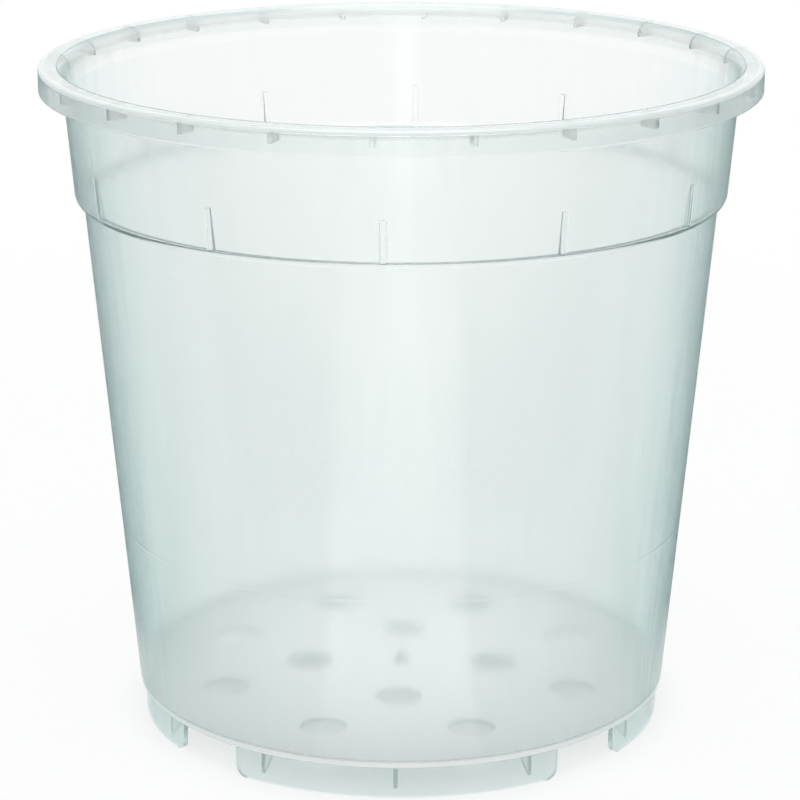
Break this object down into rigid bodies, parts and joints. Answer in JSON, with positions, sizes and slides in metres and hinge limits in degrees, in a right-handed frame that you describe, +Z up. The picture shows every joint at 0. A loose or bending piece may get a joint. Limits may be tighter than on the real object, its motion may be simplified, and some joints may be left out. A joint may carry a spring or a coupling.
{
  "type": "orchid pot with slots",
  "caption": "Clear tapered plastic orchid pot with a stepped collar, a turned-down rim, a drained floor and a slotted foot ring.",
  "frame": {"origin": "middle of the circle that the feet stand on", "axes": "+Z up along the pot's axis; -Y is the front, where the first foot is; +X is to the right"},
  "size_m": [0.17, 0.17, 0.1605],
  "materials": {
    "clear_plastic": "clear, slightly milky"
  },
  "bodies": {
    "root": {"rim": "clear_plastic", "collar": "clear_plastic", "shoulder": "clear_plastic", "wall_upper": "clear_plastic", "wall_lower": "clear_plastic", "floor": "clear_plastic", "gate_stub": "clear_plastic", "foot_1": "clear_plastic", "foot_2": "clear_plastic", "foot_3": "clear_plastic", "foot_4": "clear_plastic", "foot_gusset_01": "clear_plastic", "foot_gusset_02": "clear_plastic", "foot_gusset_03": "clear_plastic", "foot_gusset_04": "clear_plastic", "foot_gusset_05": "clear_plastic", "foot_gusset_06": "clear_plastic", "foot_gusset_07": "clear_plastic", "foot_gusset_08": "clear_plastic", "foot_gusset_09": "clear_plastic", "foot_gusset_10": "clear_plastic", "foot_gusset_11": "clear_plastic", "foot_gusset_12": "clear_plastic", "rim_gusset_01": "clear_plastic", "rim_gusset_02": "clear_plastic", "rim_gusset_03": "clear_plastic", "rim_gusset_04": "clear_plastic", "rim_gusset_05": "clear_plastic", "rim_gusset_06": "clear_plastic", "rim_gusset_07": "clear_plastic", "rim_gusset_08": "clear_plastic", "rim_gusset_09": "clear_plastic", "rim_gusset_10": "clear_plastic", "rim_gusset_11": "clear_plastic", "rim_gusset_12": "clear_plastic", "rim_gusset_13": "clear_plastic", "rim_gusset_14": "clear_plastic", "rim_gusset_15": "clear_plastic", "rim_gusset_16": "clear_plastic", "rim_gusset_17": "clear_plastic", "rim_gusset_18": "clear_plastic", "rim_gusset_19": "clear_plastic", "rim_gusset_20": "clear_plastic", "rim_gusset_21": "clear_plastic", "rim_gusset_22": "clear_plastic", "rim_gusset_23": "clear_plastic", "rim_gusset_24": "clear_plastic", "stacking_rib_01": "clear_plastic", "stacking_rib_02": "clear_plastic", "stacking_rib_03": "clear_plastic", "stacking_rib_04": "clear_plastic", "stacking_rib_05": "clear_plastic", "stacking_rib_06": "clear_plastic", "stacking_rib_07": "clear_plastic", "stacking_rib_08": "clear_plastic", "stacking_rib_09": "clear_plastic", "stacking_rib_10": "clear_plastic", "stacking_rib_11": "clear_plastic", "stacking_rib_12": "clear_plastic"}
  },
  "joints": []
}
